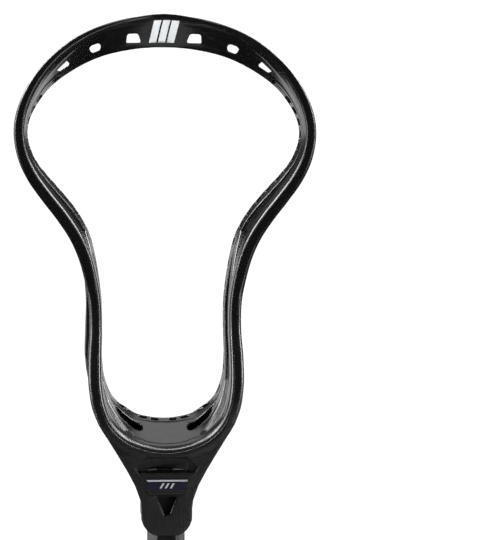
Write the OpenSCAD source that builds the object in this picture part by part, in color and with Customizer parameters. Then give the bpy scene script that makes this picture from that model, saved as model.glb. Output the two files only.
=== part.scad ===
// Lacrosse stick: an unstrung men's head on an eight-sided shaft.
// The stick stands on its butt cap. +Z runs up the shaft to the scoop, the open face looks to -Y
// and +X is to the right when the face is looked at. The origin is the centre of the cap's flat end.

/* [Shaft] */
// Length of the shaft tube
shaft_length = 762; // [700:1:820]
// Width of the shaft across its sides (X)
shaft_width = 22; // [20:0.1:24]
// Depth of the shaft from face to back (Y)
shaft_depth = 25.4; // [24:0.1:26]
// Wall thickness of the shaft tube
shaft_wall = 1.3; // [1:0.1:2]
// How far each flat of the shaft is hollowed
flat_hollow = 0.35; // [0:0.05:0.6]

/* [Head] */
// Width of the head across its widest part
head_width = 182; // [170:1:190]
// Height of the head from the collar's lowest edge to the scoop
head_height = 315; // [290:1:330]
// How far the shaft goes into the head
socket_depth = 36; // [30:1:44]
// Gap all round the shaft inside the collar
socket_gap = 0.15; // [0.05:0.05:0.4]

/* [String holes] */
// Spacing of the close holes in the upper sidewall
upper_pitch = 7.2; // [6.6:0.1:7.6]
// Spacing of the wide holes in the lower sidewall
lower_pitch = 13; // [12:0.1:13.2]
// Side of a string hole
string_hole = 5; // [4:0.1:5.4]

/* [Fasteners and trim] */
// Radius of the head screw's shank
screw_r = 1.95; // [1.5:0.05:2.2]
// Radius of the head screw's pan head
screw_head_r = 3.5; // [3:0.1:4]
// Length of the head screw under its head
screw_length = 12; // [8:0.5:16]
// Thickness of the badge plate on the throat
badge_t = 0.9; // [0.5:0.1:1.5]

/* [Butt cap] */
// Thickness of the rubber under the shaft's end
cap_floor = 4; // [3:0.5:8]
// Height of the cap's sleeve round the shaft
cap_height = 30; // [20:1:45]
// Thickness of the cap's sleeve
cap_wall = 2.4; // [1.5:0.1:4]

/* [Quality] */
// Divisions between two rows of the head's outline
divisions = 4; // [2:1:5]

/* [Hidden] */
$fn = 32;
kx = head_width / 182;
kh = head_height / 315;
z0 = cap_floor + shaft_length - socket_depth;
screw_h = 8.2;
screw_seat = 14.2;

// The head's wall, from the middle of the scoop down the right side to the middle of the ball stop.
// x and h of the face edge of the inner surface, y of the face, y of the back,
// lean of the wall towards the opening, rim width, web thickness, back rail thickness,
// depth of the rim, depth of the back rail
LOOP = [
  [0,    312.2, 20.4, 31.2, 18,   2.8, 4.6, 4.8, 2.5, 4],
  [25,   307.2, 14,   31,   15,   2.5, 4.6, 4.8, 2.5, 4],
  [44,   299,   8.8,  29.6, 11.9, 3.8, 4.8, 5,   3,   5],
  [61.5, 286,   3.5,  28.2, 8.2,  5,   4.6, 4.8, 5,   8],
  [76,   267.5, -0.8, 25.8, 3.4,  5.9, 4,   5,   10,  11],
  [84.5, 240.5, -1.8, 29,   0.1,  6.5, 3.6, 5.5, 13,  13],
  [81.8, 224,   -1.6, 34,   2.6,  6.8, 4.4, 5.8, 13,  14],
  [76.7, 213.6, -1,   38,   4.8,  7.1, 5,   6,   13,  15],
  [68.6, 202.4, -0.3, 43,   6.2,  7.3, 5,   6,   12.5, 15],
  [59.1, 190.4, 0.3,  47.5, 6.2,  7.5, 5,   6,   12,  15],
  [50.8, 178,   0.7,  51,   4.8,  7.6, 5.5, 6.6, 11.5, 15],
  [44.8, 165,   1,    52.2, 2.1,  7.8, 5.5, 7.6, 11.5, 15],
  [41.3, 152,   1.6,  52.2, 0.8,  7.7, 5.5, 8.9, 11.5, 15],
  [39,   139,   1.6,  51.6, 0,    7.5, 6,   9.6, 11,  15],
  [38.3, 120.6, -1,   50,   -0.3, 7.4, 6,   10.4, 11, 15],
  [38.5, 103,   -7.2, 46.2, -0.2, 8,   6,   10.4, 11, 15],
  [38,   86,    -13,  42,   2,    8,   6,   9.2, 11,  14],
  [36.2, 76,    -15.5, 39.5, 4.9, 8,   6,   7.6, 11,  13],
  [33.1, 67.8,  -17.5, 37.5, 9,   7.5, 6,   6.4, 10,  12],
  [23.5, 57.6,  -18.3, 34.5, 11.7, 7.4, 6,  6,   10,  11],
  [12,   52.7,  -18.3, 32.5, 13.3, 7,  6,   7,   10,  9],
  [0,    51.1,  -18.3, 32,  13.8, 7,   6,   8,   10,  8]];
N = len(LOOP);

// Side openings of the head, as [y, h] outlines
WINDOW_TOP = [[12.3, 236], [14.2, 237], [15.4, 235], [19.2, 221.4], [23.4, 210.6], [28.8, 199.8], [33.6, 189],
  [35.6, 181.4], [33.8, 177.6], [27, 167.4], [19.8, 156.6], [15, 149.4], [12.6, 146], [12, 150], [12, 190], [12.2, 215]];
WINDOW_MID = [[36.4, 166.8], [37.2, 162.6], [37.2, 145.8], [36, 131.4], [34.2, 120.6], [32.4, 112], [30.4, 102],
  [24, 88.8], [15, 77.4], [6, 67.8], [-2, 60.5], [-8, 57], [-8.8, 60], [-7.2, 68], [-5.8, 74], [-3.6, 81], [-1.2, 88.2],
  [1.2, 95.4], [4.2, 102.6], [7.2, 109.8], [10.2, 117], [13.8, 124.2], [19.2, 135], [25.2, 145.8], [31.2, 156.6]];
WINDOW_LOW = [[24, 76.4], [22.6, 70.4], [15.8, 55.8], [13.2, 48], [11.4, 37.8], [9.8, 23.4], [8, 14.6], [-8.6, 11.2],
  [-8.6, 33.6], [-9.6, 38.4], [-8, 44], [0, 51.6], [6.6, 58.2], [17.4, 70.2]];

// Throat outlines as [x, h], right half, ending inside the wall
THROAT_FRONT = [[0, 0], [5, 0.3], [8.4, 1.3], [11.2, 3.2], [13.3, 6], [14.5, 9.4], [14.8, 14], [15.6, 21], [18.7, 29.7], [23.4, 38.5],
  [28.7, 47.4], [32.8, 53.9], [37.3, 61], [40.6, 67.2], [38.3, 69], [25.3, 54.3], [12.8, 49.3], [0, 47.6]];
THROAT_BACK = [[0, 0], [5, 0.3], [8.4, 1.3], [11.2, 3.2], [13.3, 6], [14.5, 9.4], [14.6, 22], [16, 32], [19.6, 44], [25.6, 56],
  [33.8, 71.6], [30.3, 69.7], [20.4, 63], [9.8, 60.7], [0, 60]];
// Throat outlines as [y, h]
FACE_SIDE = [[-16.4, 0], [-16.6, 14], [-17.3, 34], [-17.9, 48], [-17, 60], [-16.4, 68], [-8, 68], [-7.9, 0]];
BACK_SIDE = [[8, 8], [14, 8], [15.6, 11], [16.2, 16], [17.4, 23.4], [19.2, 33], [21, 40], [24, 45.5], [25, 47.4], [31.4, 47.4],
  [31.4, 60], [33, 74], [22, 74], [15, 56.2], [12.3, 48], [10.5, 37.8], [8.9, 23.4]];

function turned(r) = [for (k = [0:len(r) - 1]) k == 0 ? -r[0] : r[k]];
function row(i) = i < 0 ? turned(LOOP[-i]) : i > N - 1 ? turned(LOOP[2 * (N - 1) - i]) : LOOP[i];
function gap(i) = norm([row(i + 1)[0] - row(i)[0], row(i + 1)[1] - row(i)[1]]);
function slope(i) = let (a = gap(i - 1), b = gap(i))
  ((row(i) - row(i - 1)) / a * b + (row(i + 1) - row(i)) / b * a) / (a + b);
function between(i, u) = let (d = gap(i))
  (2 * pow(u, 3) - 3 * u * u + 1) * row(i) + (pow(u, 3) - 2 * u * u + u) * d * slope(i)
  + (3 * u * u - 2 * pow(u, 3)) * row(i + 1) + (pow(u, 3) - u * u) * d * slope(i + 1);
HALF = [for (i = [0:N - 2]) for (j = [0:divisions - 1]) between(i, j / divisions), LOOP[N - 1]];
M = len(HALF) - 1;
RING = [for (k = [0:2 * M - 1]) k <= M ? HALF[k] : turned(HALF[2 * M - k])];
function ring(k) = RING[(k + 4 * M) % (2 * M)];
function out(k) = let (t = [ring(k + 1)[0] - ring(k - 1)[0], ring(k + 1)[1] - ring(k - 1)[1]]) [-t[1], t[0]] / norm(t);
// A point of the wall: offset a along the outward direction, at depth y
function at(k, a, y) = let (r = ring(k), n = out(k)) [(r[0] + n[0] * a) * kx, y, (r[1] + n[1] * a) * kh];
function lean(r, y) = -r[4] * (y - r[2]) / (r[3] - r[2]);
// Cross-section of the wall as [offset, depth]
function wall(r) = let (f = r[2], b = r[3], y1 = f + r[8], y2 = b - r[9]) [
  [0.4, f], [r[5] - 0.9, f], [r[5], f + 1], [r[5] + lean(r, y1) + (r[4] > 3 && (r[8] < 9 || r[2] < -14) ? r[6] - r[5] : 0), y1],
  [r[6] + lean(r, y1 + 1), y1 + 1], [r[6] + lean(r, y2 - 1), y2 - 1], [r[7] + lean(r, y2), y2],
  [r[7] + lean(r, b - 1), b - 1], [r[7] - r[4] - 1, b], [0.8 - r[4], b], [lean(r, b - 0.8), b - 0.8], [0, f + 0.5]];

// A closed ring of sections; pts(k) is the list of 3-D points of station k
module ring_solid(sections) {
  count = len(sections);
  size = len(sections[0]);
  polyhedron(
    points = [for (s = sections) for (p = s) p],
    faces = [for (k = [0:count - 1]) for (j = [0:size - 1]) let (
        a = k * size + j, b = k * size + (j + 1) % size,
        c = ((k + 1) % count) * size + (j + 1) % size, d = ((k + 1) % count) * size + j)
      each [[a, b, c], [a, c, d]]]);
}

module wall_ring() {
  ring_solid([for (k = [0:2 * M - 1]) [for (p = wall(ring(k))) at(k, p[0], p[1])]]);
}

// Extrudes a [y, h] outline along X
module side_cut(outline, from, to) {
  translate([from, 0, 0]) rotate([90, 0, 90]) linear_extrude(to - from) polygon([for (p = outline) [p[0], p[1] * kh]]);
}
// Extrudes a right-half [x, h] outline and its mirror along Y
module front_cut(outline, from, to) {
  translate([0, to, 0]) rotate([90, 0, 0]) linear_extrude(to - from) polygon(concat(
    [for (p = outline) [p[0] * kx, p[1] * kh]],
    [for (i = [len(outline) - 1:-1:0]) if (outline[i][0] > 0) [-outline[i][0] * kx, outline[i][1] * kh]]));
}

// Station of the sidewall at height h
function near(h, k = 0) = k >= M || HALF[k][1] <= h ? k : near(h, k + 1);
// Station of the lower wall at distance x from the middle
function near_low(x, k = M) = HALF[k][0] >= x ? k : near_low(x, k - 1);
// A string hole through the wall at station k, y from the back edge, w along the wall, d deep in y
module string_cut(k, from_back, w, d, tilt = 0) {
  r = ring(k);
  n = out(k);
  y = r[3] - from_back;
  a = lean(r, y) + r[7] / 2;
  p = at(k, a, y);
  for (s = [-1, 1]) scale([s, 1, 1]) translate(p) rotate([0, -atan2(n[1], n[0]), 0]) rotate([0, 0, tilt])
    cube([26, d, w], center = true);
}

function octagon(w, d, c, hollow) = let (
    q = [[w / 2, -d / 2 + c], [w / 2, d / 2 - c], [w / 2 - c, d / 2], [-w / 2 + c, d / 2],
         [-w / 2, d / 2 - c], [-w / 2, -d / 2 + c], [-w / 2 + c, -d / 2], [w / 2 - c, -d / 2]])
  [for (i = [0:7]) let (a = q[i], b = q[(i + 1) % 8], m = (a + b) / 2, u = (b - a) / norm(b - a), f = i % 2 == 0 ? 1 : 0.6)
    each [a, m - [u[1], -u[0]] * hollow * f]];
corner = 5.6;

module throat() {
  difference() {
    union() {
      intersection() {
        front_cut(THROAT_FRONT, -19, -8);
        side_cut(FACE_SIDE, -50, 50);
      }
      intersection() {
        front_cut(THROAT_BACK, 7, 36);
        side_cut(BACK_SIDE, -50, 50);
      }
      // collar round the shaft
      intersection() {
        front_cut([[0, 0], [5, 0.3], [8.4, 1.3], [11.2, 3.2], [13.4, 6], [14.8, 9.4], [14.9, 15.4], [0, 15.4]], -17, 16);
        side_cut([[-15.9, 0], [-8, 0.6], [4, 3.4], [11, 6.2], [14.4, 9], [15.6, 12], [16, 15], [8, 14.6], [-8.6, 11.2], [-15.9, 15]], -20, 20);
      }
      // raised panel that carries the badge
      translate([0, -8.6, 0]) rotate([90, 0, 0]) linear_extrude(10.6) polygon([for (p = [[17, 37.4], [10.8, 24.4], [-10.8, 24.4], [-17, 37.4]]) [p[0] * kx, p[1] * kh]]);
    }
    // the V under the panel
    translate([0, -8, 0]) rotate([90, 0, 0]) linear_extrude(14) polygon([for (p = [[7.3, 24.2], [2.2, 11.4], [-2.2, 11.4], [-7.3, 24.2]]) [p[0] * kx, p[1] * kh]]);
  }
}

module head() {
  color([0.035, 0.035, 0.04]) translate([0, 0, z0]) difference() {
    union() {
      wall_ring();
      throat();
    }
    side_cut(WINDOW_LOW, 14.6, 60);
    side_cut(WINDOW_LOW, -60, -14.6);
    side_cut(WINDOW_TOP, 25, 120);
    side_cut(WINDOW_TOP, -120, -25);
    side_cut(WINDOW_MID, 20, 60);
    side_cut(WINDOW_MID, -60, -20);
    // six-sided recess over the panel and its slot
    translate([0, -16, 0]) rotate([90, 0, 0]) linear_extrude(6) polygon([for (p = [[12, 46.4], [18.6, 40], [17, 37.6], [-17, 37.6], [-18.6, 40], [-12, 46.4]]) [p[0] * kx, p[1] * kh]]);
    translate([-12.4 * kx, -20, 37.8 * kh]) cube([24.8 * kx, 14, 4.8 * kh]);
    // shaft socket
    translate([0, 0, -5]) linear_extrude(socket_depth + 5) polygon(octagon(shaft_width + 2 * socket_gap, shaft_depth + 2 * socket_gap, corner, flat_hollow));
    // screw hole and its counterbore
    translate([0, 20, screw_h]) rotate([90, 0, 0]) cylinder(r = screw_r + 0.15, h = 12);
    translate([0, 20, screw_h]) rotate([90, 0, 0]) cylinder(r = screw_head_r + 0.3, h = 20 - screw_seat);
    // sidewall string holes
    for (i = [0:11]) string_cut(near(262.2 - upper_pitch * i), 6, string_hole, string_hole + 0.8);
    for (i = [0:8]) string_cut(near(172.8 - lower_pitch * i), 5.2, string_hole, string_hole);
    string_cut(near(275.4), 6, 4.4, 5.4);
    // scoop string holes
    string_cut(4 * divisions / 4 - 1, 2.6, 8.4, 4.4, 56);
    string_cut(round(2 * divisions - divisions / 4), 4.2, 7, 5, 40);
    string_cut(3 * divisions, 5.4, 7.6, 5, 20);
    // slots behind the ball stop and round its corners
    for (x = [7.9, 17.4]) string_cut(near_low(x), 4.6, 6, 3.2);
    string_cut(near_low(29), 4.4, 3.4, 3.4);
    string_cut(near_low(34.4), 4.6, 5, 3.4);
  }
}

module throat_badge() {
  color([0.16, 0.17, 0.2]) translate([0, -19.2, z0]) rotate([90, 0, 0]) linear_extrude(badge_t)
    polygon([for (p = [[12.6, 34], [11, 27.6], [-11, 27.6], [-12.6, 34]]) [p[0] * kx, p[1] * kh]]);
}

// A point on the inner side of the scoop: x, share v of the way to the back lip, height a above the surface
function mark(x, v, a) = let (r = near_x(abs(x)), y = r[2] + (r[3] - r[2]) * v)
  [x * kx, y, (r[1] - r[4] * v + a) * kh];
function near_x(x, i = 0) = HALF[i + 1][0] >= x || i > 2 * divisions ? let (u = (x - HALF[i][0]) / (HALF[i + 1][0] - HALF[i][0])) HALF[i] * (1 - u) + HALF[i + 1] * u : near_x(x, i + 1);
// A slanted four-sided mark on the inner side of the scoop
module scoop_emblem() {
  color([0.86, 0.88, 0.88]) translate([0, 0, z0]) polyhedron(
    points = [for (i = [0:8]) let (x = -9 + i * 2.25) each [mark(x + 1.5, 0.08, -0.8), mark(x - 1.5, 0.77, -0.8), mark(x - 1.5, 0.77, -0.05), mark(x + 1.5, 0.08, -0.05)]],
    faces = concat([[0, 1, 2, 3]], [[35, 34, 33, 32]],
      [for (i = [0:7]) for (j = [0:3]) let (a = 4 * i + j, b = 4 * i + (j + 1) % 4) each [[a, b + 4, b], [a, a + 4, b + 4]]]));
}

module shaft() {
  color([0.06, 0.06, 0.065]) translate([0, 0, cap_floor]) difference() {
    linear_extrude(shaft_length) difference() {
      polygon(octagon(shaft_width, shaft_depth, corner, flat_hollow));
      polygon(octagon(shaft_width - 2 * shaft_wall, shaft_depth - 2 * shaft_wall, corner - 0.6 * shaft_wall, flat_hollow));
    }
    translate([0, 20, shaft_length - socket_depth + screw_h]) rotate([90, 0, 0]) cylinder(r = screw_r + 0.05, h = 15);
  }
}

module head_screw() {
  color([0.62, 0.62, 0.64]) translate([0, 0, z0 + screw_h]) rotate([-90, 0, 0]) difference() {
    rotate_extrude() polygon([[0, screw_seat - screw_length], [0.7, screw_seat - screw_length + 0.6], [screw_r, screw_seat - screw_length + 3],
      [screw_r, screw_seat], [screw_head_r, screw_seat], [screw_head_r, screw_seat + 0.9], [screw_head_r - 0.9, screw_seat + 1.7], [0, screw_seat + 2]]);
    for (q = [0, 90]) rotate([0, 0, q]) translate([-1.8, -0.4, screw_seat + 0.7]) cube([3.6, 0.8, 3]);
  }
}

module butt_cap() {
  color([0.05, 0.05, 0.05]) difference() {
    union() {
      linear_extrude(cap_height) polygon(octagon(shaft_width + 2 * cap_wall, shaft_depth + 2 * cap_wall, corner + 1, 0));
      for (z = [1, 9, 15, 21]) translate([0, 0, z]) linear_extrude(z == 1 ? 6 : 2.4)
        polygon(octagon(shaft_width + 2 * cap_wall + 1.6, shaft_depth + 2 * cap_wall + 1.6, corner + 1.4, 0));
    }
    translate([0, 0, cap_floor]) linear_extrude(cap_height) polygon(octagon(shaft_width + 0.02, shaft_depth + 0.02, corner, flat_hollow));
  }
}

head();
throat_badge();
scoop_emblem();
shaft();
head_screw();
butt_cap();
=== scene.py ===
import math

import bmesh
import bpy
import numpy as np
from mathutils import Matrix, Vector


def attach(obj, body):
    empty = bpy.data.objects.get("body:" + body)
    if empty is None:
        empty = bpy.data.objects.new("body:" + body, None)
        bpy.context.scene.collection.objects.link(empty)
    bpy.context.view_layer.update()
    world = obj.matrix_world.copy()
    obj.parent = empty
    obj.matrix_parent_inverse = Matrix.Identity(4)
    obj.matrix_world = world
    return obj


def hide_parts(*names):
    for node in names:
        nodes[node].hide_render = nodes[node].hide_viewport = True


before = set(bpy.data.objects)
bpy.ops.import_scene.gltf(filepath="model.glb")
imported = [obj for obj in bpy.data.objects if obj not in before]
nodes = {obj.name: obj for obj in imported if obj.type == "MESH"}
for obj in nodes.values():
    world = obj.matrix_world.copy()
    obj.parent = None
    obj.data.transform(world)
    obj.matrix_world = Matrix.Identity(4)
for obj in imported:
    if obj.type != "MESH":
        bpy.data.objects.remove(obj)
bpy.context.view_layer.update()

# ---------------------------------------------------------------- camera
EYE = 0.8          # distance of the eye in front of the shaft's axis, m
EYE_Z = 0.8866
cam_data = bpy.data.cameras.new("camera")
cam = bpy.data.objects.new("camera", cam_data)
bpy.context.scene.collection.objects.link(cam)
YAW = math.radians(-2.4)
cam.location = (EYE * math.sin(YAW), -EYE * math.cos(YAW), EYE_Z)
cam.rotation_euler = (math.radians(90), 0, YAW)
cam_data.sensor_width = 36.0
cam_data.lens = 36.0 * EYE / 0.324
cam_data.shift_x = (245.5 - 165.7) / 540.0
cam_data.clip_start = 0.02
cam_data.clip_end = 60
bpy.context.scene.camera = cam

# ---------------------------------------------------------------- numbers of the part, mm
SHAFT_L, FLOOR_T, SOCKET = 762.0, 4.0, 36.0
Z0 = FLOOR_T + SHAFT_L - SOCKET          # height of the head's own zero
EYE_MM, EYE_ZMM = EYE * 1000, EYE_Z * 1000

# x, h, face y, back y, lean, rim width, web, back rail, rim depth, rail depth
LOOP = np.array([
    [0,    312.2, 20.4, 31.2, 18,   2.8, 4.6, 4.8, 2.5, 4],
    [25,   307.2, 14,   31,   15,   2.5, 4.6, 4.8, 2.5, 4],
    [44,   299,   8.8,  29.6, 11.9, 3.8, 4.8, 5,   3,   5],
    [61.5, 286,   3.5,  28.2, 8.2,  5,   4.6, 4.8, 5,   8],
    [76,   267.5, -0.8, 25.8, 3.4,  5.9, 4,   5,   10,  11],
    [84.5, 240.5, -1.8, 29,   0.1,  6.5, 3.6, 5.5, 13,  13],
    [81.8, 224,   -1.6, 34,   2.6,  6.8, 4.4, 5.8, 13,  14],
    [76.7, 213.6, -1,   38,   4.8,  7.1, 5,   6,   13,  15],
    [68.6, 202.4, -0.3, 43,   6.2,  7.3, 5,   6,   12.5, 15],
    [59.1, 190.4, 0.3,  47.5, 6.2,  7.5, 5,   6,   12,  15],
    [50.8, 178,   0.7,  51,   4.8,  7.6, 5.5, 6.6, 11.5, 15],
    [44.8, 165,   1,    52.2, 2.1,  7.8, 5.5, 7.6, 11.5, 15],
    [41.3, 152,   1.6,  52.2, 0.8,  7.7, 5.5, 8.9, 11.5, 15],
    [39,   139,   1.6,  51.6, 0,    7.5, 6,   9.6, 11,  15],
    [38.3, 120.6, -1,   50,   -0.3, 7.4, 6,   10.4, 11, 15],
    [38.5, 103,   -7.2, 46.2, -0.2, 8,   6,   10.4, 11, 15],
    [38,   86,    -13,  42,   2,    8,   6,   9.2, 11,  14],
    [36.2, 76,    -15.5, 39.5, 4.9, 8,   6,   7.6, 11,  13],
    [33.1, 67.8,  -17.5, 37.5, 9,   7.5, 6,   6.4, 10,  12],
    [23.5, 57.6,  -18.3, 34.5, 11.7, 7.4, 6,  6,   10,  11],
    [12,   52.7,  -18.3, 32.5, 13.3, 7,  6,   7,   10,  9],
    [0,    51.1,  -18.3, 32,  13.8, 7,   6,   8,   10,  8]], float)
WINDOW_TOP = [(12.3, 236), (14.2, 237), (15.4, 235), (19.2, 221.4), (23.4, 210.6), (28.8, 199.8), (33.6, 189),
              (35.6, 181.4), (33.8, 177.6), (27, 167.4), (19.8, 156.6), (15, 149.4), (12.6, 146), (12, 150), (12, 190), (12.2, 215)]
WINDOW_MID = [(36.4, 166.8), (37.2, 162.6), (37.2, 145.8), (36, 131.4), (34.2, 120.6), (32.4, 112), (30.4, 102),
              (24, 88.8), (15, 77.4), (6, 67.8), (-2, 60.5), (-8, 57), (-8.8, 60), (-7.2, 68), (-5.8, 74), (-3.6, 81), (-1.2, 88.2),
              (1.2, 95.4), (4.2, 102.6), (7.2, 109.8), (10.2, 117), (13.8, 124.2), (19.2, 135), (25.2, 145.8), (31.2, 156.6)]
WINDOW_LOW = [(24, 76.4), (22.6, 70.4), (15.8, 55.8), (13.2, 48), (11.4, 37.8), (9.8, 23.4), (8, 14.6), (-8.6, 11.2),
              (-8.6, 33.6), (-9.6, 38.4), (-8, 44), (0, 51.6), (6.6, 58.2), (17.4, 70.2)]
THROAT_FRONT = [(0, -0.2), (5, 0.3), (8.4, 1.3), (11.2, 3.2), (13.3, 6), (14.5, 9.4), (14.8, 14), (15.6, 21), (18.7, 29.7), (23.4, 38.5),
                (28.7, 47.4), (32.8, 53.9), (37.3, 61), (40.6, 67.2), (38.3, 69), (25.3, 54.3), (12.8, 49.3), (0, 47.6)]
THROAT_BACK = [(0, -0.2), (5, 0.3), (8.4, 1.3), (11.2, 3.2), (13.3, 6), (14.5, 9.4), (14.6, 22), (16, 32), (19.6, 44), (25.6, 56),
               (33.8, 71.6), (30.3, 69.7), (20.4, 63), (9.8, 60.7), (0, 60)]
FACE_SIDE = [(-16.4, -0.2), (-16.6, 14), (-17.3, 34), (-17.9, 48), (-17, 60), (-16.4, 68), (-8, 68), (-8.4, -0.2)]
BACK_SIDE = [(8, 8), (14, 8), (15.6, 11), (16.2, 16), (17.4, 23.4), (19.2, 33), (21, 40), (24, 45.5), (25, 47.4), (31.4, 47.4),
             (31.4, 60), (33, 74), (22, 74), (15.4, 56), (12.8, 48), (11, 37.8), (9.4, 23.4)]
COLLAR_FRONT = [(0, -0.2), (5, 0.3), (8.4, 1.3), (11.2, 3.2), (13.4, 6), (14.8, 9.4), (14.9, 15.4), (0, 15.4)]
COLLAR_SIDE = [(-15.9, -0.2), (-8, 0.6), (4, 3.4), (11, 6.2), (14.4, 9), (15.6, 12), (16, 15), (8, 14.6), (-8.6, 11.2), (-15.9, 15)]
PANEL = [(0, 24.4), (10.8, 24.4), (17, 37.4), (0, 37.4)]
RECESS = [(0, 37.6), (17, 37.6), (18.6, 40), (12, 46.4), (0, 46.4)]
VEE = [(0, 11.4), (2.4, 11.4), (7.6, 24.6), (0, 24.6)]
# scoop holes as seen from the eye, on the plane through the shaft's axis
SCOOP_HOLES = [
    [(22.6, 136.2), (22.2, 140.6), (21.3, 141.5), (16.4, 141.7), (15.4, 141), (13.9, 137.2), (14.5, 136.3)],
    [(45, 132.7), (43.7, 134.3), (39.7, 135.7), (38.3, 135), (37.9, 133.3), (38.6, 131.6), (42.7, 130), (44, 130.7)],
    [(65.1, 121.1), (63.4, 124.2), (58.8, 125.4), (56.7, 123.4), (57.2, 122.4), (62.5, 118.9), (64.5, 119.4)]]

# long opening round each corner of the ball stop, on the same plane
CORNER_SLOT = [(31, -79), (28.5, -85), (26.5, -88.3), (22, -92.5), (18.5, -95.2), (15.3, -96.4), (13.6, -95.6),
               (13.2, -94.2), (19, -91), (25, -86.3), (28.5, -81), (30.8, -76)]


def turned(r):
    r = r.copy()
    r[0] = -r[0]
    return r


def dense_loop(div=16, ghost=2):
    """The wall's rows joined by smooth curves, a little past the middle at both ends. Returns rows and the row number of each."""
    n = len(LOOP)

    def row(i):
        return turned(LOOP[-i]) if i < 0 else turned(LOOP[2 * (n - 1) - i]) if i > n - 1 else LOOP[i]

    def gap(i):
        return np.hypot(*(row(i + 1)[:2] - row(i)[:2]))

    def slope(i):
        a, b = gap(i - 1), gap(i)
        return ((row(i) - row(i - 1)) / a * b + (row(i + 1) - row(i)) / b * a) / (a + b)

    rows, num = [], []
    for i in range(-ghost, n - 1 + ghost):
        d = gap(i)
        for j in range(div):
            u = j / div
            rows.append((2 * u**3 - 3 * u * u + 1) * row(i) + (u**3 - 2 * u * u + u) * d * slope(i)
                        + (3 * u * u - 2 * u**3) * row(i + 1) + (u**3 - u * u) * d * slope(i + 1))
            num.append(i + u)
    rows.append(row(n - 1 + ghost))
    num.append(n - 1 + ghost)
    return np.array(rows), np.array(num)


ROWS, NUM = dense_loop()


def locate(x, h):
    """Nearest place on the loop: row number and signed distance, outward positive, for arrays of x and h."""
    a, b = ROWS[:-1, :2], ROWS[1:, :2]
    d = b - a
    l2 = (d**2).sum(1)
    t_out, a_out = np.empty(len(x)), np.empty(len(x))
    # smooth outward directions at the rows
    tan = np.gradient(ROWS[:, :2], axis=0)
    tan /= np.linalg.norm(tan, axis=1)[:, None]
    for s in range(0, len(x), 20000):
        px, ph = x[s:s + 20000, None], h[s:s + 20000, None]
        u = ((px - a[None, :, 0]) * d[:, 0] + (ph - a[None, :, 1]) * d[:, 1]) / l2
        u = np.clip(u, 0, 1)
        ex, eh = px - (a[:, 0] + u * d[:, 0]), ph - (a[:, 1] + u * d[:, 1])
        q = ex * ex + eh * eh
        k = q.argmin(1)
        i = np.arange(len(k))
        uu = u[i, k]
        tt = tan[k] * (1 - uu)[:, None] + tan[k + 1] * uu[:, None]
        side = -tt[:, 1] * ex[i, k] + tt[:, 0] * eh[i, k]
        t_out[s:s + 20000] = NUM[k] + uu * (NUM[k + 1] - NUM[k])
        a_out[s:s + 20000] = np.sign(side) * np.sqrt(q[i, k])
    return t_out, a_out


def channels(t):
    return [np.interp(t, NUM, ROWS[:, c]).astype(np.float32) for c in range(2, 10)]


def smin(a, b, k):
    return np.minimum(a, b) - np.maximum(k - np.abs(a - b), 0)**2 / (4 * k)


def smax(a, b, k):
    return np.maximum(a, b) + np.maximum(k - np.abs(a - b), 0)**2 / (4 * k)


def step(v, lo, hi):
    u = np.clip((v - lo) / (hi - lo), 0, 1)
    return u * u * (3 - 2 * u)


def polygon(px, py, points):
    """Signed distance to a closed outline, negative inside."""
    p = np.array(points, float)
    best = np.full(px.shape, 1e9)
    sign = np.ones(px.shape)
    for i in range(len(p)):
        (x0, y0), (x1, y1) = p[i - 1], p[i]
        dx, dy = x1 - x0, y1 - y0
        u = np.clip(((px - x0) * dx + (py - y0) * dy) / (dx * dx + dy * dy), 0, 1)
        best = np.minimum(best, (px - x0 - u * dx)**2 + (py - y0 - u * dy)**2)
        c = ((y0 <= py) & (y1 > py) & (dx * (py - y0) - dy * (px - x0) > 0)) | ((y1 <= py) & (y0 > py) & (dx * (py - y0) - dy * (px - x0) < 0))
        sign = np.where(c, -sign, sign)
    return (np.sqrt(best) * sign).astype(np.float32)


def both_sides(points):
    return [p for p in points] + [(-x, y) for x, y in reversed(points) if x > 0]


def round_box(u, v, u0, u1, v0, v1, r):
    """Distance to a rectangle u0..u1 by v0..v1 with corners of radius r."""
    r = np.minimum(r, np.minimum((u1 - u0) / 2, (v1 - v0) / 2) - 0.05)
    du = np.abs(u - (u0 + u1) / 2) - (u1 - u0) / 2 + r
    dv = np.abs(v - (v0 + v1) / 2) - (v1 - v0) / 2 + r
    return np.sqrt(np.maximum(du, 0)**2 + np.maximum(dv, 0)**2) + np.minimum(np.maximum(du, dv), 0) - r


def octagon(w, d, c, hollow):
    q = [(w / 2, -d / 2 + c), (w / 2, d / 2 - c), (w / 2 - c, d / 2), (-w / 2 + c, d / 2),
         (-w / 2, d / 2 - c), (-w / 2, -d / 2 + c), (-w / 2 + c, -d / 2), (w / 2 - c, -d / 2)]
    out = []
    for i in range(8):
        a, b = np.array(q[i]), np.array(q[(i + 1) % 8])
        u = (b - a) / np.linalg.norm(b - a)
        out.append(tuple(a))
        out.append(tuple((a + b) / 2 - np.array([u[1], -u[0]]) * hollow * (1 if i % 2 == 0 else 0.6)))
    return out


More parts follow.
